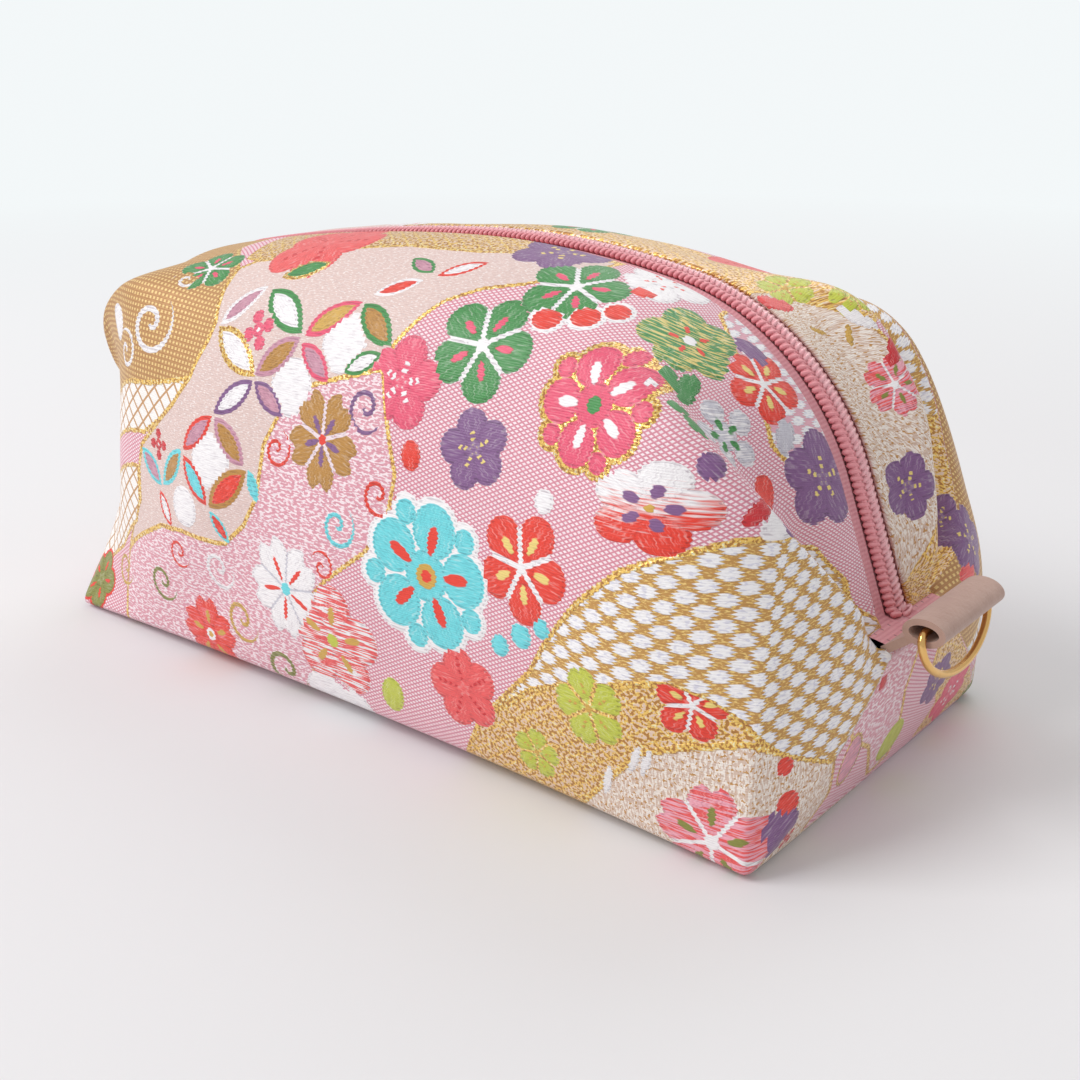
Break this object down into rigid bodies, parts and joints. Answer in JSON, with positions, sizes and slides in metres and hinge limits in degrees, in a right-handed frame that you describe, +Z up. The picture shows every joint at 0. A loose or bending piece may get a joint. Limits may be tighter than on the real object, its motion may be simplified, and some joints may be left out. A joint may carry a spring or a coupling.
{
  "type": "zip-top box pouch",
  "caption": "Soft box-shaped brocade pouch with a flat base, a curved coil zip along the top, pinched ends, and a folded tab that holds a metal D-ring.",
  "frame": {"origin": "middle of the flat base, on the surface that the pouch stands on", "axes": "+X along the pouch towards the end with the tab and ring, +Y from the large front panel to the back, +Z up"},
  "size_m": [0.2149, 0.1008, 0.0959],
  "materials": {
    "brocade": "woven brocade, many-coloured floral floats on pink, gold and taupe grounds",
    "lining": "plain woven lining",
    "zip_tape": "fine ribbed pink tape",
    "zip_coil": "dusty pink nylon coil",
    "gold_metal": "polished gold plating",
    "tab_suede": "taupe suede-like strip"
  },
  "bodies": {
    "pouch": {"brocade_body": "brocade", "lining": "lining", "zip_tape_front": "zip_tape", "zip_tape_back": "zip_tape", "zip_coil_front": "zip_coil", "zip_coil_back": "zip_coil", "top_stop_front": "gold_metal", "top_stop_back": "gold_metal", "tab_loop": "tab_suede"},
    "slider": {"zip_slider": "gold_metal"},
    "pull": {"zip_pull": "gold_metal"},
    "ring": {"d_ring": "gold_metal"}
  },
  "joints": [
    {"name": "slider_swing", "type": "hinge", "parent": "pouch", "child": "slider", "pos_m": [-0.06292, 0, 0.05349], "axis": [0, 1, 0], "range_deg": [0, 56]},
    {"name": "pull_hinge", "type": "hinge", "parent": "slider", "child": "pull", "pos_m": [-0.09858, 0, 0.06107], "axis": [0, 1, 0], "range_deg": [0, 175]},
    {"name": "ring_hinge", "type": "hinge", "parent": "pouch", "child": "ring", "pos_m": [0.1078, 0, 0.0382], "axis": [0, -1, 0], "range_deg": [-20, 150]}
  ]
}
